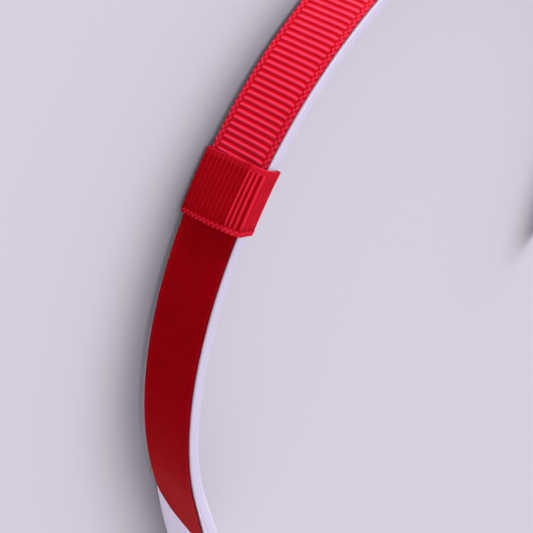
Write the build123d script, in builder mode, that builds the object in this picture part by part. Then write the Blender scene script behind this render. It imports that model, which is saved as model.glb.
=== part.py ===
"""Ribbon-faced hoop headband, lying on its side.

The hoop lies in the XY plane, with its crown towards +Y and its width along Z.
A station is an arc length along the hoop's outer face, from the middle of the crown.
Each layer of the right-hand half is a strip between two offsets from that face,
and the left-hand half is its mirror image in the YZ plane.
"""
from build123d import *
from math import cos, degrees, radians, sin, tan
import os

# ---- driving dimensions, mm and degrees ----
crown_radius = 66.0        # outer face of the hoop
crown_sweep = 51.5         # from the middle of the crown to the arm
arm_radius = 74.5
arm_sweep = 44.0
tip_length = 35.0          # straight end of the arm

hoop_thickness = 2.0
hoop_width = 10.2
tip_width = 14.4
flare_start = -10.0        # along the tip, from the end of the arm's arc
flare_end = 25.0
edge_radius = 0.4

tape_thickness = 0.08
tape_width = 8.8
tape_setback = 2.0         # behind the cut end of the ribbon
ribbon_width = 10.0
crown_ribbon_thickness = 0.4
arm_ribbon_thickness = 0.3
seam_station = 60.3        # the crown ribbon and the arm ribbon meet here
seam_gap = 0.2
cut_start = 12.1           # lower corner of the slanted ribbon end, along the tip
cut_angle = 78.0
cut_corner_radius = 11.8

keeper_length = 10.0       # along the band
keeper_thickness = 0.4
keeper_clearance = 0.15
keeper_corner_radius = 0.35
keeper_lap = 3.0           # half of the overlap of the loop's two ends
glue_thickness = 0.06

# ---- layout worked out from them ----
crown_length = crown_radius * radians(crown_sweep)
arm_length = arm_radius * radians(arm_sweep)
arm_end = crown_length + arm_length
hoop_end = arm_end + tip_length
arm_angle = 90 - crown_sweep
tip_angle = arm_angle - arm_sweep
mid_height = tip_width / 2
ribbon_offset = tape_thickness
crown_ribbon_offset = ribbon_offset + crown_ribbon_thickness
arm_ribbon_offset = ribbon_offset + arm_ribbon_thickness


def polar(radius, angle):
    """Vector of a given length, at an angle from +X in degrees."""
    return Vector(radius * cos(radians(angle)), radius * sin(radians(angle)))


# The crown's centre is placed so that the part is centred on the origin along Y.
tip_direction = polar(1, tip_angle - 90)
arm_shift = polar(crown_radius - arm_radius, arm_angle)
tip_round = arm_shift + polar(arm_radius - edge_radius, tip_angle) + tip_direction * (tip_length - edge_radius)
crown_top = crown_radius + crown_ribbon_offset
crown_centre = Vector(0, -(crown_top + tip_round.Y - edge_radius) / 2)
arm_centre = crown_centre + arm_shift
tip_origin = arm_centre + polar(arm_radius, tip_angle)


def point_at(offset, station):
    """Point at a station, at an offset outside the hoop's outer face."""
    if station <= crown_length:
        angle = 90 - degrees(station / crown_radius)
        return crown_centre + polar(crown_radius + offset, angle)
    if station <= arm_end:
        angle = arm_angle - degrees((station - crown_length) / arm_radius)
        return arm_centre + polar(arm_radius + offset, angle)
    return tip_origin + polar(offset, tip_angle) + tip_direction * (station - arm_end)


def follow_hoop(offset, start, end):
    """Tangent arcs and line that follow the hoop between two stations."""
    if start < crown_length:
        stop = min(end, crown_length)
        low_angle = 90 - degrees(stop / crown_radius)
        CenterArc(crown_centre, crown_radius + offset, low_angle, degrees((stop - start) / crown_radius))
    if end > crown_length and start < arm_end:
        first = max(start, crown_length)
        stop = min(end, arm_end)
        low_angle = arm_angle - degrees((stop - crown_length) / arm_radius)
        CenterArc(arm_centre, arm_radius + offset, low_angle, degrees((stop - first) / arm_radius))
    if end > arm_end:
        Line(point_at(offset, max(start, arm_end)), point_at(offset, end))


def strip(low, high, start, end, width):
    """Layer between two offsets and two stations, centred on the middle height."""
    with BuildSketch(Plane.XY.offset(mid_height)) as outline:
        with BuildLine():
            follow_hoop(low, start, end)
            follow_hoop(high, start, end)
            Line(point_at(low, start), point_at(high, start))
            Line(point_at(low, end), point_at(high, end))
        make_face()
    extrude(outline.sketch, amount=width / 2, both=True)


def export_pair(name, piece):
    """Write the right-hand piece and its mirror image."""
    piece.part.label = name + "_right"
    export_step(piece.part, f"parts/{name}_right.step")
    with BuildPart() as opposite:
        mirror(piece.part, about=Plane.YZ)
    opposite.part.label = name + "_left"
    export_step(opposite.part, f"parts/{name}_left.step")


# Seen from inside the hoop, x runs down the tip and y runs up.
tip_plane = Plane(
    origin=tip_origin + Vector(0, 0, mid_height),
    x_dir=tip_direction,
    z_dir=polar(-1, tip_angle),
)
beyond = 2 * hoop_end
os.makedirs("parts", exist_ok=True)

# ---- hoop: one springy moulding, flared and rounded at its tips ----
half_band = hoop_width / 2
half_tip = tip_width / 2
flare_middle = (flare_start + flare_end) / 2
half_flare = (half_band + half_tip) / 2
round_centre = tip_length - half_tip

with BuildPart() as hoop:
    strip(-hoop_thickness, 0, 0, hoop_end, tip_width)
    with BuildSketch(tip_plane):
        with BuildLine():
            Line((-beyond, half_band), (flare_start, half_band))
            TangentArc((flare_start, half_band), (flare_middle, half_flare), tangent=(1, 0))
            TangentArc((flare_end, half_tip), (flare_middle, half_flare), tangent=(-1, 0))
            Line((flare_end, half_tip), (round_centre, half_tip))
            CenterArc((round_centre, 0), half_tip, 0, 90)
            mirror(about=Plane.XZ)
            Line((-beyond, half_band), (-beyond, -half_band))
        make_face()
    extrude(amount=beyond, both=True, mode=Mode.INTERSECT)
    long_edges = hoop.edges().filter_by(Axis.Z, reverse=True).filter_by(
        lambda edge: edge.length > 1.2 * hoop_thickness
    )
    fillet(long_edges, radius=edge_radius)
export_pair("hoop", hoop)

# ---- double-sided tape between the hoop and its ribbons ----
half_ribbon = ribbon_width / 2
cut_run = ribbon_width / tan(radians(cut_angle))
crown_ribbon_end = seam_station - seam_gap / 2
arm_ribbon_start = seam_station + seam_gap / 2
ribbon_reach = arm_end + cut_start + cut_run


def slanted_end(setback):
    """Trim a layer to the slant of the ribbon's cut end, with its lower corner rounded."""
    foot = cut_start - setback
    with BuildSketch(tip_plane) as outline:
        with BuildLine():
            Line((-beyond, half_ribbon), (foot + cut_run, half_ribbon))
            FilletPolyline(
                (foot + cut_run, half_ribbon),
                (foot, -half_ribbon),
                (-beyond, -half_ribbon),
                radius=cut_corner_radius,
            )
            Line((-beyond, -half_ribbon), (-beyond, half_ribbon))
        make_face()
    extrude(outline.sketch, amount=beyond, both=True, mode=Mode.INTERSECT)


with BuildPart() as crown_tape:
    strip(0, tape_thickness, 0, crown_ribbon_end, tape_width)
export_pair("crown_tape", crown_tape)

with BuildPart() as arm_tape:
    strip(0, tape_thickness, arm_ribbon_start, ribbon_reach, tape_width)
    slanted_end(tape_setback)
export_pair("arm_tape", arm_tape)

# ---- ribbons ----
with BuildPart() as crown_ribbon:
    strip(ribbon_offset, crown_ribbon_offset, 0, crown_ribbon_end, ribbon_width)
export_pair("crown_ribbon", crown_ribbon)

with BuildPart() as arm_ribbon:
    strip(ribbon_offset, arm_ribbon_offset, arm_ribbon_start, ribbon_reach, ribbon_width)
    slanted_end(0)
export_pair("arm_ribbon", arm_ribbon)

# ---- keeper: a loop of ribbon round the band, its two ends lapped inside and glued ----
keeper_end_station = seam_station + keeper_length / 2
keeper_low_angle = arm_angle - degrees((keeper_end_station - crown_length) / arm_radius)
keeper_sweep = degrees(keeper_length / arm_radius)
arm_axis = Axis(arm_centre, (0, 0, 1))
side = half_band + keeper_clearance
outer_side = side + keeper_thickness
outside = arm_radius + crown_ribbon_offset + keeper_clearance
keeper_outside = outside + keeper_thickness
inside = arm_radius - hoop_thickness - keeper_clearance
first_end = inside - keeper_thickness
second_end = first_end - glue_thickness
keeper_inside = second_end - keeper_thickness

# In this section x is the distance from the arm's centre, and y runs up the band's width.
keeper_plane = Plane(
    origin=arm_centre + Vector(0, 0, mid_height),
    x_dir=polar(1, keeper_low_angle),
    z_dir=polar(1, keeper_low_angle - 90),
)

with BuildPart() as keeper_loop:
    with BuildSketch(keeper_plane):
        with BuildLine():
            Polyline(
                (inside, -keeper_lap),
                (inside, side),
                (outside, side),
                (outside, -side),
                (second_end, -side),
                (second_end, keeper_lap),
                (keeper_inside, keeper_lap),
                (keeper_inside, -outer_side),
                (keeper_outside, -outer_side),
                (keeper_outside, outer_side),
                (first_end, outer_side),
                (first_end, -keeper_lap),
                close=True,
            )
        make_face()
        fillet(vertices().filter_by(lambda corner: abs(corner.Y) > side), radius=keeper_corner_radius)
    revolve(axis=arm_axis, revolution_arc=keeper_sweep)
export_pair("keeper_loop", keeper_loop)

with BuildPart() as keeper_glue:
    with BuildSketch(keeper_plane):
        with Locations(((first_end + second_end) / 2, 0)):
            Rectangle(glue_thickness, 2 * keeper_lap)
    revolve(axis=arm_axis, revolution_arc=keeper_sweep)
export_pair("keeper_glue", keeper_glue)
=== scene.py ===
"""Looks of the ribbon-faced hoop headband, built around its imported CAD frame.

A station is a signed arc length along the hoop's outer face from the middle of the
crown, minus on the left half. Offsets are measured outwards from that face, and
heights from the middle of the band. Dimensions are written in millimetres and turned
into metres where a mesh is made.
"""
import math

import bmesh
import bpy
import numpy as np
from mathutils import Matrix, Vector


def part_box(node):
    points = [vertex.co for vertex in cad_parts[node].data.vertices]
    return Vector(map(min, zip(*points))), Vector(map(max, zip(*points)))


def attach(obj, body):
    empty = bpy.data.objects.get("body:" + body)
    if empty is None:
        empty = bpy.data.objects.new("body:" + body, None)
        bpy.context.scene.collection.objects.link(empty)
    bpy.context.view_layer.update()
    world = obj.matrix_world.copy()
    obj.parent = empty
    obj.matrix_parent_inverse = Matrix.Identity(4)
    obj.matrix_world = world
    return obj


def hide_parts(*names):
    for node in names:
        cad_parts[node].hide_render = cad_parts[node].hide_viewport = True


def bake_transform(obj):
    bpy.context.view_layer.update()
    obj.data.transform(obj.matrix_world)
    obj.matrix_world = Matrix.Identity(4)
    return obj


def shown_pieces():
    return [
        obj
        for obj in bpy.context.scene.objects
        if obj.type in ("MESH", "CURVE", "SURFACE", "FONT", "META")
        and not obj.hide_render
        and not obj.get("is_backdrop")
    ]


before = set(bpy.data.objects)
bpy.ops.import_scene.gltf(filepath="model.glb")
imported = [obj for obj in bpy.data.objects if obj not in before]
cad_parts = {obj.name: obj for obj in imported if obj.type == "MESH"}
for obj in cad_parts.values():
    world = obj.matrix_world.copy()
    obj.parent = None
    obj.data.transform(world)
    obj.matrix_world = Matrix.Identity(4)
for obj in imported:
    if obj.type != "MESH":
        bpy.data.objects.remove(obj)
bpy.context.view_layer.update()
MM = 0.001

# ---- the frame's dimensions, mm ----
CROWN_RADIUS = 66.0
CROWN_SWEEP = math.radians(51.5)
ARM_RADIUS = 74.5
ARM_SWEEP = math.radians(44)
TIP_LENGTH = 35.0
HOOP_THICKNESS = 2.0
HOOP_WIDTH = 10.2
TIP_WIDTH = 14.4
FLARE_START = -10.0
FLARE_END = 25.0
EDGE_RADIUS = 0.4
TAPE_THICKNESS = 0.08
TAPE_WIDTH = 8.8
RIBBON_WIDTH = 10.0
CROWN_RIBBON_THICKNESS = 0.4
ARM_RIBBON_THICKNESS = 0.3
SEAM_STATION = 60.3
SEAM_GAP = 0.2
CUT_START = 12.1
CUT_ANGLE = math.radians(78)
CUT_CORNER_RADIUS = 11.8
KEEPER_LENGTH = 10.0
KEEPER_THICKNESS = 0.4
KEEPER_CLEARANCE = 0.15
KEEPER_LAP = 3.0
GLUE_THICKNESS = 0.06

# ---- the cloth's own dimensions, mm ----
CROWN_RIB = 0.977
CROWN_RIB_PHASE = 0.77  # in ribs
CROWN_DEPTH = 0.11
CROWN_SCALLOP = 0.08
ARM_RIB = 0.45
ARM_DEPTH = 0.1
ARM_SCALLOP = 0.05
KEEPER_RIB = 0.8
KEEPER_DEPTH = 0.10
EDGE_ROUNDING = 0.12
# The looped selvedge is two cords. Each is placed by its distance from the ribbon's edge.
INNER_CORD = 0.72
OUTER_CORD = 0.30
SELVEDGE_WIDTH = 0.92
# The keeper sits askew, leans back towards the inside and stands off the ribbons.
KEEPER_SKEW = 0.085  # station per mm of height
KEEPER_LEAN = 0.16  # station per mm of depth
KEEPER_SWELL = 0.45
# Corner radii of the keeper's inner face: tight inside the hoop, fuller outside it.
TIGHT_CORNER = 0.12
UPPER_CORNER = 0.6
LOWER_CORNER = 0.45

# ---- where the frame puts them ----
CROWN_LENGTH = CROWN_RADIUS * CROWN_SWEEP
ARM_END = CROWN_LENGTH + ARM_RADIUS * ARM_SWEEP
ARM_ANGLE = math.pi / 2 - CROWN_SWEEP
TIP_ANGLE = ARM_ANGLE - ARM_SWEEP

hoop_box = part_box("hoop_left")
keeper_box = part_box("keeper_loop_left")
MID_HEIGHT = sum(corner.z for corner in hoop_box) / 2 / MM
CROWN_CENTRE = np.array([0.0, hoop_box[1].y / MM - CROWN_RADIUS])
ARM_DIRECTION = np.array([math.cos(ARM_ANGLE), math.sin(ARM_ANGLE)])
ARM_CENTRE = CROWN_CENTRE + (CROWN_RADIUS - ARM_RADIUS) * ARM_DIRECTION
TIP_DIRECTION = np.array([math.sin(TIP_ANGLE), -math.cos(TIP_ANGLE)])


def smooth(value):
    """Smooth step from 0 to 1."""
    value = np.clip(value, 0, 1)
    return value * value * (3 - 2 * value)


def place(station, offset, height):
    """Points in metres at signed stations, offsets and heights."""
    station, offset, height = np.broadcast_arrays(station, offset, height)
    run = np.abs(station)
    crown = run <= CROWN_LENGTH
    bend = np.clip(run - CROWN_LENGTH, 0, ARM_RADIUS * ARM_SWEEP) / ARM_RADIUS
    angle = np.where(crown, math.pi / 2 - run / CROWN_RADIUS, ARM_ANGLE - bend)
    reach = np.where(crown, CROWN_RADIUS, ARM_RADIUS) + offset
    down = np.maximum(run - ARM_END, 0)
    centre_x = np.where(crown, CROWN_CENTRE[0], ARM_CENTRE[0])
    centre_y = np.where(crown, CROWN_CENTRE[1], ARM_CENTRE[1])
    x = centre_x + reach * np.cos(angle) + down * TIP_DIRECTION[0]
    y = centre_y + reach * np.sin(angle) + down * TIP_DIRECTION[1]
    x = np.where(station < 0, -x, x)
    return np.stack([x, y, MID_HEIGHT + height], axis=-1) * MM


# ---- meshes ----
MERGE_DISTANCE = 2e-6


def loft(name, loops, weave, caps=True):
    """Closed mesh through rows of points that each run once round the piece's section.

    weave holds each point's place along and across the cloth and its relief, in mm.
    """
    rows, count = loops.shape[:2]
    row, column = np.meshgrid(np.arange(rows - 1), np.arange(count), indexing="ij")
    here, there = row * count, (row + 1) * count
    after = (column + 1) % count
    quads = np.stack([here + column, here + after, there + after, there + column], axis=-1)
    faces = quads.reshape(-1, 4).tolist()
    if caps:
        faces.append(list(range(count))[::-1])
        faces.append([(rows - 1) * count + i for i in range(count)])
    mesh = bpy.data.meshes.new(name)
    mesh.from_pydata(loops.reshape(-1, 3).tolist(), [], faces)
    held = mesh.attributes.new("weave", "FLOAT_VECTOR", "POINT")
    held.data.foreach_set("vector", weave.reshape(-1).astype(np.float32))
    mesh.polygons.foreach_set("use_smooth", [True] * len(mesh.polygons))
    piece = bpy.data.objects.new(name, mesh)
    bpy.context.scene.collection.objects.link(piece)
    clean(mesh)
    return piece


def clean(mesh):
    """Merge coincident points and turn every face outwards."""
    work = bmesh.new()
    work.from_mesh(mesh)
    bmesh.ops.remove_doubles(work, verts=work.verts, dist=MERGE_DISTANCE)
    bmesh.ops.recalc_face_normals(work, faces=work.faces)
    work.to_mesh(mesh)
    work.free()


# ---- materials ----
class Paint:
    """A Principled material and short calls that wire nodes into it."""

    def __init__(self, name, **constants):
        self.material = bpy.data.materials.new(name)
        self.material.use_nodes = True
        self.tree = self.material.node_tree
        self.shader = self.tree.nodes["Principled BSDF"]
        for socket, value in constants.items():
            self.shader.inputs[socket.replace("_", " ")].default_value = value

    def node(self, kind, *inputs, **settings):
        made = self.tree.nodes.new("ShaderNode" + kind)
        for key, value in settings.items():
            setattr(made, key, value)
        for index, value in enumerate(inputs):
            self.join(value, made.inputs[index])
        return made

    def join(self, value, socket):
        """Link a socket, or set a plain value on it."""
        if isinstance(value, bpy.types.NodeSocket):
            self.tree.links.new(value, socket)
        else:
            socket.default_value = value

    def math(self, operation, *inputs):
        return self.node("Math", *inputs, operation=operation).outputs[0]

    def vary(self, value, middle, amount):
        """How far a 0-to-1 value is from its middle, times an amount."""
        return self.math("MULTIPLY", self.math("SUBTRACT", value, middle), amount)

    def weave(self):
        """Place along the cloth, place across it and relief."""
        held = self.node("Attribute", attribute_name="weave")
        return self.node("SeparateXYZ", held.outputs["Vector"]).outputs

    def noise(self, scale, detail, along=1.0, across=1.0, vector=None):
        """Noise in cloth coordinates, or in the given ones."""
        if vector is None:
            station, height, _ = self.weave()
            vector = self.node(
                "CombineXYZ",
                self.math("MULTIPLY", station, along),
                self.math("MULTIPLY", height, across),
            ).outputs[0]
        made = self.node("TexNoise")
        self.join(vector, made.inputs["Vector"])
        made.inputs["Scale"].default_value = scale
        made.inputs["Detail"].default_value = detail
        return made.outputs["Fac"]

    def span(self, value, low, high, to_low=0.0, to_high=1.0):
        return self.node("MapRange", value, low, high, to_low, to_high).outputs[0]

    def between(self, noise, low, high):
        """The middle of a noise's range spread from low to high."""
        return self.span(noise, 0.3, 0.7, low, high)

    def blend(self, share, first, second, kind="MIX"):
        made = self.node("Mix", data_type="RGBA", blend_type=kind)
        self.join(share, made.inputs[0])
        self.join(first, made.inputs[6])
        self.join(second, made.inputs[7])
        return made.outputs[2]

    def bump(self, height, strength, distance):
        made = self.node("Bump")
        made.inputs["Strength"].default_value = strength
        made.inputs["Distance"].default_value = distance
        self.join(height, made.inputs["Height"])
        return made.outputs[0]

    def use(self, **sockets):
        for socket, value in sockets.items():
            self.join(value, self.shader.inputs[socket.replace("_", " ")])
        return self.material


def shade(*display):
    """Colour from red, green and blue display values of 0 to 255."""
    linear = [
        (v / 255 / 12.92) if v <= 10 else ((v / 255 + 0.055) / 1.055) ** 2.4 for v in display
    ]
    return (*linear, 1.0)


FINE_BUMP = 0.00002  # metres
FILM_BUMP = 0.00003
SHEEN_COLOUR = shade(255, 110, 140)
# Where a ribbon's outermost thread is painted darker, as painted shade, in mm from its middle.
EDGE_SHADE_START = 4.82
EDGE_SHADE_END = 4.97


def ribbon_paint(name, groove_shade, crest_highlight, thread_pitch, gloss, painted_edge_light, sheen=0.0, matt=0.48):
    """Ribbed polyester ribbon: deep grooves with a painted shade, crests with a painted
    highlight, fine threads along the band.
    """
    paint = Paint(
        name,
        Sheen_Weight=sheen,
        Sheen_Roughness=0.35,
        Sheen_Tint=SHEEN_COLOUR,
        Specular_IOR_Level=gloss,
    )
    _, across, relief = paint.weave()
    threads = paint.math("SINE", paint.math("MULTIPLY", across, 2 * math.pi / thread_pitch))
    fibre = paint.noise(9.0, 3.0, across=0.15)
    patch = paint.noise(0.35, 2.0)
    # The colour runs with the relief from the painted shade of the grooves to the painted
    # highlight of the crests, and varies at random along the fibres.
    highlight_and_fibre = paint.span(relief, 0.35, 0.92)
    highlight_and_fibre = paint.math("ADD", highlight_and_fibre, paint.vary(fibre, 0.5, 0.35))
    rib_shade_and_highlight = paint.blend(highlight_and_fibre, groove_shade, crest_highlight)
    light = paint.math(
        "ADD", paint.between(patch, 0.94, 1.05), paint.math("MULTIPLY", threads, 0.03)
    )
    # Painted shade darkens the ribbon along both of its edges.
    edge_shade = paint.span(
        paint.math("ABSOLUTE", across), EDGE_SHADE_START, EDGE_SHADE_END, 1.0, painted_edge_light
    )
    light = paint.math("MULTIPLY", light, edge_shade)
    grey = paint.node("CombineXYZ", light, light, light).outputs[0]
    height = paint.math(
        "ADD", paint.math("MULTIPLY", threads, 0.5), paint.math("MULTIPLY", fibre, 0.8)
    )
    return paint.use(
        Base_Color=paint.blend(1.0, rib_shade_and_highlight, grey, "MULTIPLY"),
        Roughness=paint.between(fibre, matt - 0.08, matt + 0.08),
        Normal=paint.bump(height, 0.35, FINE_BUMP),
    )


def plastic_paint():
    """White moulded plastic with a faint lavender cast."""
    paint = Paint("hoop_plastic", Specular_IOR_Level=0.45, Subsurface_Weight=0.12)
    paint.shader.inputs["Subsurface Radius"].default_value = (0.0012, 0.0008, 0.0009)
    paint.shader.inputs["Subsurface Scale"].default_value = 1.0
    flow = paint.noise(0.12, 3.0, along=0.3)
    grain = paint.noise(5.0, 4.0)
    return paint.use(
        Base_Color=paint.blend(flow, shade(219, 211, 237), shade(226, 218, 244)),
        Roughness=paint.between(paint.noise(0.7, 3.0), 0.32, 0.46),
        Normal=paint.bump(grain, 0.12, FINE_BUMP),
    )


def film_paint(name, light, dark, roughness):
    """Thin tape or dried glue, mottled."""
    paint = Paint(name, Specular_IOR_Level=0.5)
    place_on = paint.node("TexCoord").outputs["Object"]
    mottle = paint.noise(900.0, 4.0, vector=place_on)
    streak = paint.noise(3000.0, 2.0, vector=place_on)
    return paint.use(
        Base_Color=paint.blend(mottle, light, dark),
        Roughness=paint.between(mottle, roughness - 0.1, roughness + 0.1),
        Normal=paint.bump(streak, 0.3, FILM_BUMP),
    )


# Each ribbon's groove colour is a painted shade and its crest colour a painted highlight.
crown_paint = ribbon_paint(
    "crown_ribbon",
    groove_shade=shade(192, 0, 20),
    crest_highlight=shade(236, 52, 88),
    thread_pitch=0.13,
    gloss=0.09,
    painted_edge_light=0.75,
    sheen=0.06,
)
arm_paint = ribbon_paint(
    "arm_ribbon",
    groove_shade=shade(164, 0, 12),
    crest_highlight=shade(184, 2, 21),
    thread_pitch=0.11,
    gloss=0.03,
    painted_edge_light=0.45,
    matt=0.85,
)
keeper_paint = ribbon_paint(
    "keeper_ribbon",
    groove_shade=shade(155, 0, 11),
    crest_highlight=shade(240, 36, 62),
    thread_pitch=0.13,
    gloss=0.03,
    painted_edge_light=0.7,
    matt=0.8,
)
hoop_paint = plastic_paint()
tape_paint = film_paint("double_sided_tape", shade(238, 236, 232), shade(214, 210, 202), 0.4)
glue_paint = film_paint("keeper_glue", shade(232, 224, 205), shade(208, 196, 170), 0.3)


# ---- hoop ----
BAND_STEPS = 150
FLARE_STEPS = 60
TIP_STEPS = 6
TIP_ROUND_STEPS = 40
EDGE_STEPS = 6
FACE_STEPS = 9


def hoop_outline():
    """Stations and half widths along one long edge of the right half, with its normals."""
    half_band = HOOP_WIDTH / 2
    half_tip = TIP_WIDTH / 2
    rise = half_tip - half_band
    span = FLARE_END - FLARE_START
    flare_start = ARM_END + FLARE_START
    round_start = TIP_LENGTH - half_tip
    points = [(s, half_band) for s in np.linspace(0, flare_start, BAND_STEPS)[:-1]]
    flare_radius = ((span / 2) ** 2 + (rise / 2) ** 2) / rise
    for along in np.linspace(0, span, FLARE_STEPS)[:-1]:
        # Two equal arcs meet halfway: the first lifts off the band, the second joins the tip.
        if along <= span / 2:
            lift = flare_radius - math.sqrt(flare_radius ** 2 - along ** 2)
        else:
            lift = rise - flare_radius + math.sqrt(flare_radius ** 2 - (span - along) ** 2)
        points.append((flare_start + along, half_band + lift))
    straight = np.linspace(FLARE_END, round_start, TIP_STEPS)[:-1]
    points += [(ARM_END + s, half_tip) for s in straight]
    for turn in np.linspace(0, math.pi / 2, TIP_ROUND_STEPS):
        station = ARM_END + round_start + half_tip * math.sin(turn)
        points.append((station, half_tip * math.cos(turn)))
    points = np.array(points)
    slope = np.gradient(points, axis=0)
    normal = np.stack([-slope[:, 1], slope[:, 0]], axis=1)
    normal /= np.linalg.norm(normal, axis=1)[:, None]
    normal[0] = (0, 1)
    normal[-1] = (1, 0)
    return points, normal


def make_hoop():
    """The plastic hoop in one piece, its long edges rounded."""
    points, normals = hoop_outline()
    turns = np.linspace(0, math.pi / 2, EDGE_STEPS)
    outer = [
        (EDGE_RADIUS * (1 - math.sin(t)), -EDGE_RADIUS * (1 - math.cos(t))) for t in turns
    ]
    levels = outer + [(inset, -HOOP_THICKNESS - depth) for inset, depth in outer[::-1]]
    first = levels[0][0]
    face = np.linspace(-1, 1, FACE_STEPS)[1:-1]
    rows = []
    for (station, half), (lean, out) in zip(points, normals):
        flat_station, flat_half = station - lean * first, max(half - out * first, 0)
        upper = [
            (station - lean * inset, offset, max(half - out * inset, 0))
            for inset, offset in levels
        ]
        rows.append(
            [(flat_station, 0.0, share * flat_half) for share in face]
            + upper
            + [(flat_station, -HOOP_THICKNESS, share * flat_half) for share in face[::-1]]
            + [(along, offset, -height) for along, offset, height in upper[::-1]]
        )
    right = np.array(rows)
    left = right[:0:-1].copy()
    left[..., 0] *= -1
    ladder = np.concatenate([left, right])
    loops = place(ladder[..., 0], ladder[..., 1], ladder[..., 2])
    return loft("hoop", loops, ladder[..., [0, 2, 1]], caps=False)


# ---- cloth relief ----
def rib(phase, width=0.27):
    """Rounded rib: 1 on its crest at whole phases, 0 in the groove."""
    away = np.abs((phase + 0.5) % 1.0 - 0.5)
    return np.exp(-((away / width) ** 2.4))


def lump(across, centre, half):
    """Rounded cross-section of one cord of the selvedge."""
    return np.sqrt(np.clip(1 - ((across - centre) / half) ** 2, 0, 1))


def braid(phase, across, edge, slant=0.55):
    """Two rows of slanted loops that bind the ribbon's edge."""
    inner_turn = rib(phase + 0.5 + slant * (across - edge + INNER_CORD), 0.30)
    outer_turn = rib(phase - slant * (across - edge + OUTER_CORD), 0.32)
    inner = lump(across, edge - INNER_CORD, 0.32) * inner_turn
    outer = lump(across, edge - OUTER_CORD, 0.34) * outer_turn
    bound = smooth((across - edge + SELVEDGE_WIDTH) / 0.12)
    return (0.28 + 0.72 * np.maximum(inner * 0.9, outer * 0.9)) * bound


def crown_relief(station, across):
    """Relief of the wide-ribbed ribbon, 0 to 1. Its ribs curl slightly near both edges."""
    edge = RIBBON_WIDTH / 2
    curl = 0.13 * smooth((across - 2.9) / 1.4) + 0.05 * smooth((-across - 3.2) / 1.0)
    phase = (station + curl) / CROWN_RIB + CROWN_RIB_PHASE
    ends = smooth((edge - 0.86 - np.abs(across)) / 0.30)
    return np.maximum(rib(phase) * ends, braid(phase, np.abs(across), edge) * 0.8)


def arm_relief(station, across):
    """Relief of the finely ribbed ribbon, 0 to 1."""
    edge = RIBBON_WIDTH / 2
    phase = np.abs(station) / ARM_RIB
    fine = 0.35 + 0.3 * rib(phase)
    border = smooth((np.abs(across) - edge + 0.8) / 0.15)
    bound = 0.65 + 0.35 * rib(phase + 1.2 * (np.abs(across) - edge))
    return fine * (1 - border) + bound * border


def columns(edge, core, core_count, selvedge_count):
    """Places across a ribbon, dense in its two selvedges."""
    middle = np.linspace(-core, core, core_count)
    side = np.linspace(core, edge, selvedge_count + 1)[1:]
    return np.concatenate([-side[::-1], middle, side])


def edge_drop(across):
    """How far a ribbon's face has turned down at each place: 0 inside, 1 at its edge."""
    edge = np.max(np.abs(across))
    rounding = np.clip(edge - np.abs(across), 0, EDGE_ROUNDING) / EDGE_ROUNDING
    return (1 - rounding[None, :]) ** 2


UNDERSIDE_RELIEF = 0.3


def ribbon_loops(stations, across, thickness, depth, relief, scallop):
    """Rows of section points of a ribbon stuck on the tape, and their cloth coordinates.

    stations is a grid of one row per section and one column per place across.
    """
    height = relief(stations, across[None, :])
    edge = np.max(np.abs(across))
    reach = across[None, :] * np.ones_like(stations)
    outermost = smooth((np.abs(reach) - edge + 0.5) / 0.5)
    reach += np.sign(reach) * scallop * (height - 0.5) * outermost
    top = TAPE_THICKNESS + thickness - depth * (1 - height)
    top = top - edge_drop(across) * 0.35 * (top - TAPE_THICKNESS)
    high, low = stations[:, -1], stations[:, 0]
    far, near = reach[:, -1], reach[:, 0]
    under_station = np.stack([high, high, stations.mean(axis=1), low, low], axis=1)
    under_reach = np.stack(
        [far * 0.995, far * 0.96, 0 * near, near * 0.96, near * 0.995], axis=1
    )
    lift = np.array([0.3, 0.0, 0.0, 0.0, 0.3]) * thickness
    under_offset = np.broadcast_to(TAPE_THICKNESS + lift, under_reach.shape)
    station = np.concatenate([stations, under_station], axis=1)
    offset = np.concatenate([top, under_offset], axis=1)
    side = np.concatenate([reach, under_reach], axis=1)
    shown = np.concatenate([height, np.full(under_reach.shape, UNDERSIDE_RELIEF)], axis=1)
    return place(station, offset, side), np.stack([station, side, shown], axis=-1)


def make_crown_ribbon():
    """The wide-ribbed ribbon over the crown, ten rows to a rib."""
    end = SEAM_STATION - SEAM_GAP / 2
    rows = int(round(2 * end / CROWN_RIB * 10))
    across = columns(RIBBON_WIDTH / 2, 3.9, 14, 14)
    stations = np.linspace(-end, end, rows)[:, None] * np.ones(len(across))
    loops, weave = ribbon_loops(
        stations, across, CROWN_RIBBON_THICKNESS, CROWN_DEPTH, crown_relief, CROWN_SCALLOP
    )
    return loft("crown_ribbon", loops, weave)


def cut_station(across):
    """Station of the slanted cut at each place across, its lower corner rounded."""
    half = RIBBON_WIDTH / 2
    run = RIBBON_WIDTH / math.tan(CUT_ANGLE)
    foot = ARM_END + CUT_START
    straight = foot + (across + half) / RIBBON_WIDTH * run
    tangent = CUT_CORNER_RADIUS * math.tan(CUT_ANGLE / 2)
    centre_station, centre_height = foot - tangent, -half + CUT_CORNER_RADIUS
    meet = -half + CUT_CORNER_RADIUS * (1 - math.cos(CUT_ANGLE))
    chord = np.clip(CUT_CORNER_RADIUS ** 2 - (centre_height - across) ** 2, 0, None)
    return np.where(across < meet, centre_station + np.sqrt(chord), straight)


def make_arm_ribbon(side):
    """The finely ribbed ribbon on one arm, sheared into its slanted end."""
    start = SEAM_STATION + SEAM_GAP / 2
    across = columns(RIBBON_WIDTH / 2, 4.1, 16, 8)
    ends = cut_station(across)
    shear_from = ends.min() - 6.0
    straight = np.linspace(start, shear_from, int((shear_from - start) / ARM_RIB * 6))
    share = np.linspace(0, 1, 140)[1:]
    head = straight[:, None] * np.ones(len(across))
    tail = shear_from + share[:, None] * (ends - shear_from)[None, :]
    loops, weave = ribbon_loops(
        side * np.concatenate([head, tail]),
        across,
        ARM_RIBBON_THICKNESS,
        ARM_DEPTH,
        arm_relief,
        ARM_SCALLOP,
    )
    return loft("smooth_ribbon_" + ("left" if side < 0 else "right"), loops, weave)


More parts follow.
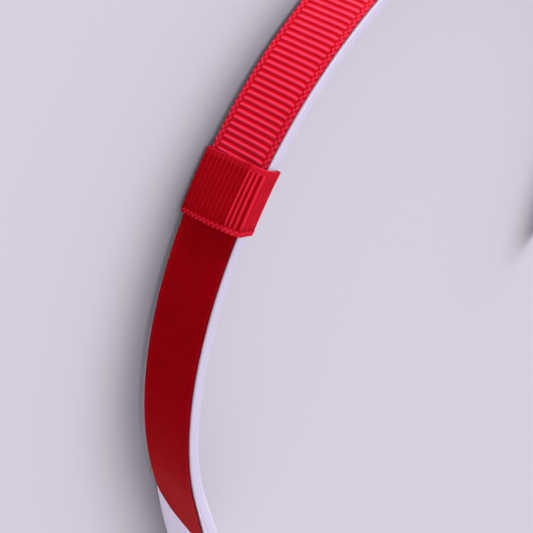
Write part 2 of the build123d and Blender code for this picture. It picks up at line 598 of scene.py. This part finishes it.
def make_tape(name, start, end):
    """The tape under the crown ribbon."""
    stations = np.linspace(start, end, 240)
    reach, top = TAPE_WIDTH / 2, TAPE_THICKNESS
    section = [(-reach, top), (0, top), (reach, top), (reach, 0), (0, 0), (-reach, 0)]
    side, offset = np.array(section).T
    station = stations[:, None] * np.ones(len(section))
    weave = np.stack([station, side + 0 * station, 0 * station], axis=-1)
    return loft(name, place(station, offset, side), weave)


# ---- keeper ----
KEEPER_STEP = 0.1
# Heights from which the ribs stand open with a painted highlight, and the selvedges get a
# painted highlight, near the upper edge.
OPEN_LIT_HEIGHT = 2.5
OPEN_LIT_SPAN = 0.7
TURN_HIGHLIGHT_HEIGHT = 2.7
TURN_HIGHLIGHT_SPAN = 0.5


def keeper_path():
    """Inner-face points (distance from the arm's centre, height), normals and run."""
    side = HOOP_WIDTH / 2 + KEEPER_CLEARANCE
    outside = ARM_RADIUS + TAPE_THICKNESS + CROWN_RIBBON_THICKNESS + KEEPER_CLEARANCE
    inside = ARM_RADIUS - HOOP_THICKNESS - KEEPER_CLEARANCE
    second_end = inside - KEEPER_THICKNESS - GLUE_THICKNESS
    corners = [
        ((inside, -KEEPER_LAP), 0),
        ((inside, side), TIGHT_CORNER),
        ((outside, side), UPPER_CORNER),
        ((outside, -side), LOWER_CORNER),
        ((second_end, -side), TIGHT_CORNER),
        ((second_end, KEEPER_LAP), 0),
    ]
    points, normals = [], []
    for (a, round_a), (b, round_b) in zip(corners, corners[1:]):
        a, b = np.array(a), np.array(b)
        direction = (b - a) / np.linalg.norm(b - a)
        normal = np.array([-direction[1], direction[0]])
        first, last = a + direction * round_a, b - direction * round_b
        count = max(2, int(np.linalg.norm(last - first) / KEEPER_STEP))
        for share in np.linspace(0, 1, count):
            points.append(first + (last - first) * share)
            normals.append(normal)
        if round_b:
            pivot = last - normal * round_b
            arc = math.pi / 2 * (round_b + KEEPER_THICKNESS)
            turns = max(6, int(arc / KEEPER_STEP))
            for turn in np.linspace(0, -math.pi / 2, turns + 1)[1:-1]:
                c, s = math.cos(turn), math.sin(turn)
                turned = np.array([c * normal[0] - s * normal[1], s * normal[0] + c * normal[1]])
                points.append(pivot + turned * round_b)
                normals.append(turned)
    points, normals = np.array(points), np.array(normals)
    middle = points + normals * KEEPER_THICKNESS / 2
    steps = np.linalg.norm(np.diff(middle, axis=0), axis=1)
    return points, normals, np.concatenate([[0], np.cumsum(steps)])


def keeper_relief(run, along, height, facing):
    """Relief of the loop's ribbon: ribs along the band, one plain and one looped selvedge.

    The ribs stand open, and carry a painted highlight, where the ribbon starts to turn over the
    band's upper edge, where the selvedges get a painted highlight too. The ribs are pressed flat
    on the band's two narrow sides, where facing is 0.
    """
    edge = KEEPER_LENGTH / 2
    phase = run / KEEPER_RIB
    facing = smooth(facing * 2 - 0.4)
    # Near the upper edge the ribs stand open and their crests get the painted highlight.
    open_and_lit_share = 0.27 + 0.73 * smooth((height - OPEN_LIT_HEIGHT) / OPEN_LIT_SPAN)
    open_and_lit_share = open_and_lit_share * facing + 0.12
    ends = smooth((edge - 0.75 - np.abs(along)) / 0.5)
    ridge = 0.12 + 0.88 * rib(phase) * open_and_lit_share
    # Painted highlight on both selvedges near the upper edge.
    turned = 0.20 * smooth((height - TURN_HIGHLIGHT_HEIGHT) / TURN_HIGHLIGHT_SPAN)
    loops = 0.17 + 0.60 * braid(phase, along, edge) + turned
    plain = 0.43 + 0.08 * rib(phase, 0.24) + turned
    ridge = ridge + 0.45 * (1 - facing)
    return ridge * ends + np.where(along > 0, loops, plain) * (1 - ends)


def make_keeper(side):
    """The ribbon loop round one arm, over the seam."""
    points, normals, run = keeper_path()
    distance, height = points[:, :1], points[:, 1:]
    swell = np.clip(1 - (height / (HOOP_WIDTH / 2 + KEEPER_CLEARANCE)) ** 2, 0, 1)
    swell = KEEPER_SWELL * np.where(normals[:, :1] > 0.2, swell, 0)
    along = columns(KEEPER_LENGTH / 2, 3.95, 12, 11)
    relief = keeper_relief(run[:, None], along[None, :], height, np.abs(normals[:, :1]))
    lift = KEEPER_THICKNESS - KEEPER_DEPTH * (1 - relief) - edge_drop(along) * 0.14

    def ring(out, places):
        stand_off = 0.5 + places[None, :] / KEEPER_LENGTH
        reach = distance + normals[:, :1] * out + swell * stand_off
        z = height + normals[:, 1:] * out
        station = (
            SEAM_STATION
            + places[None, :]
            - KEEPER_SKEW * z
            - KEEPER_LEAN * (ARM_RADIUS - reach)
        )
        angles = ARM_ANGLE - (station - CROWN_LENGTH) / ARM_RADIUS
        x = side * (ARM_CENTRE[0] + reach * np.cos(angles))
        y = ARM_CENTRE[1] + reach * np.sin(angles)
        return np.stack([x, y, MID_HEIGHT + z + 0 * y], axis=-1) * MM

    inner_along = np.array([1.0, 0.5, 0.0, -0.5, -1.0]) * (KEEPER_LENGTH / 2 - 0.05)
    loops = np.concatenate([ring(lift, along), ring(0.0, inner_along)], axis=1)
    across = np.broadcast_to(np.concatenate([along, inner_along]), loops.shape[:2])
    down = np.broadcast_to(run[:, None], loops.shape[:2])
    inner_relief = np.full((len(run), len(inner_along)), UNDERSIDE_RELIEF)
    shown = np.concatenate([relief, inner_relief], axis=1)
    name = "keeper_" + ("left" if side < 0 else "right")
    return loft(name, loops, np.stack([down, across, shown], axis=-1))


def finish_piece(piece, paint, slot, *nodes):
    """Paint a piece and let it stand for its CAD nodes, which are hidden. slot is not used."""
    piece.data.materials.append(paint)
    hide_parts(*nodes)


hoop = make_hoop()
finish_piece(hoop, hoop_paint, "hoop_plastic", "hoop_left", "hoop_right")
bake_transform(hoop)

tape_end = SEAM_STATION - SEAM_GAP / 2
crown_tape = make_tape("crown_tape", -tape_end, tape_end)
finish_piece(crown_tape, tape_paint, "tape", "crown_tape_left", "crown_tape_right")
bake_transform(crown_tape)

crown_ribbon = make_crown_ribbon()
finish_piece(
    crown_ribbon, crown_paint, "ribbed_ribbon", "crown_ribbon_left", "crown_ribbon_right"
)
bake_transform(crown_ribbon)

keeper_run = float(keeper_path()[2][-1])
for side, word in ((-1, "left"), (1, "right")):
    arm = make_arm_ribbon(side)
    finish_piece(arm, arm_paint, "smooth_ribbon", "arm_ribbon_" + word)
    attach(arm, word + "_half")
    keeper = make_keeper(side)
    finish_piece(keeper, keeper_paint, "keeper_ribbon", "keeper_loop_" + word)
    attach(keeper, word + "_keeper")
    for node, paint in (("arm_tape_" + word, tape_paint), ("keeper_glue_" + word, glue_paint)):
        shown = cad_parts[node]
        shown.data.materials.clear()
        shown.data.materials.append(paint)

# ---- floor ----
FLOOR_REACH = 6.0
FLOOR_GAP = 0.0001
FLOOR_COLOUR = (0.80, 0.75, 0.87, 1.0)

# The headband rests on its tips and its keepers, so the floor leans by a degree under it.
tips_y = hoop_box[0].y
lean = (keeper_box[0].z - FLOOR_GAP) / (keeper_box[1].y - tips_y)
floor_corners = [
    (x * FLOOR_REACH, y * FLOOR_REACH, lean * (y * FLOOR_REACH - tips_y))
    for x, y in ((-1, -1), (1, -1), (1, 1), (-1, 1))
]
floor_mesh = bpy.data.meshes.new("floor")
floor_mesh.from_pydata(floor_corners, [], [(0, 1, 2, 3)])
floor = bpy.data.objects.new("floor", floor_mesh)
bpy.context.scene.collection.objects.link(floor)
floor_paint = Paint(
    "floor", Roughness=0.9, Specular_IOR_Level=0.1, Base_Color=FLOOR_COLOUR
)
floor_mesh.materials.append(floor_paint.material)
floor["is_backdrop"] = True

# ---- light ----
WORLD_COLOUR = (1.0, 0.99, 1.0, 1.0)
WORLD_STRENGTH = 0.51

world = bpy.data.worlds.new("studio")
world.use_nodes = True
background = world.node_tree.nodes["Background"]
background.inputs["Color"].default_value = WORLD_COLOUR
background.inputs["Strength"].default_value = WORLD_STRENGTH
bpy.context.scene.world = world


def sun(name, direction, share, softness, tint=(1.0, 1.0, 1.0)):
    """Soft sun that lights a surface facing it by a share of full brightness.

    softness is the width of its disc in degrees.
    """
    lamp = bpy.data.lights.new(name, "SUN")
    lamp.energy = share * math.pi
    lamp.angle = math.radians(softness)
    lamp.color = tint
    held = bpy.data.objects.new(name, lamp)
    aim = Vector(direction).normalized()
    held.location = aim
    held.rotation_mode = "QUATERNION"
    held.rotation_quaternion = aim.to_track_quat("Z", "Y")
    bpy.context.scene.collection.objects.link(held)
    return held


product = bpy.data.collections.new("product")
bpy.context.scene.collection.children.link(product)
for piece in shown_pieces():
    product.objects.link(piece)

# Light that bounces off the red ribbon would turn its grey shadow on the floor pink.
bpy.context.scene.cycles.diffuse_bounces = 0
sun("overhead", (0.44, 0.0, 0.90), 0.38, 52)
# These light only the headband, and only the headband blocks them, so that its shadow on
# the floor stays soft and pale, as in the photograph.
for name, direction, share, softness, tint in (
    ("window", (0.475, 0.875, -0.06), 1.92, 22, (1.0, 0.98, 1.0)),
    ("fill", (-0.80, 0.25, -0.20), 0.33, 80, (1.0, 0.97, 1.0)),
    ("kick", (-0.16, -0.98, -0.12), 0.66, 28, (1.0, 0.90, 0.95)),
):
    lamp = sun(name, direction, share, softness, tint)
    lamp.light_linking.receiver_collection = product
    lamp.light_linking.blocker_collection = product

# ---- camera ----
FOCAL_LENGTH = 69.16
SENSOR_WIDTH = 36
CAMERA_DISTANCE = 0.15897
CAMERA_AIM = Vector((-0.044336, 0.01117, 0.0072))
back = Vector((-0.5339, 0.6737, 0.5109)).normalized()
right = Vector((0.6799, -0.0172, 0.7331))
up = back.cross(right).normalized()
right = up.cross(back)

camera = bpy.data.objects.new("camera", bpy.data.cameras.new("camera"))
camera.data.sensor_width = SENSOR_WIDTH
camera.data.lens = FOCAL_LENGTH
camera.data.clip_start = 0.005
camera.data.clip_end = 50
turn = Matrix((right, up, back)).transposed().to_4x4()
camera.matrix_world = Matrix.Translation(CAMERA_AIM + back * CAMERA_DISTANCE) @ turn
bpy.context.scene.collection.objects.link(camera)
bpy.context.scene.camera = camera
bpy.context.scene.view_settings.view_transform = "Standard"

bpy.context.view_layer.update()
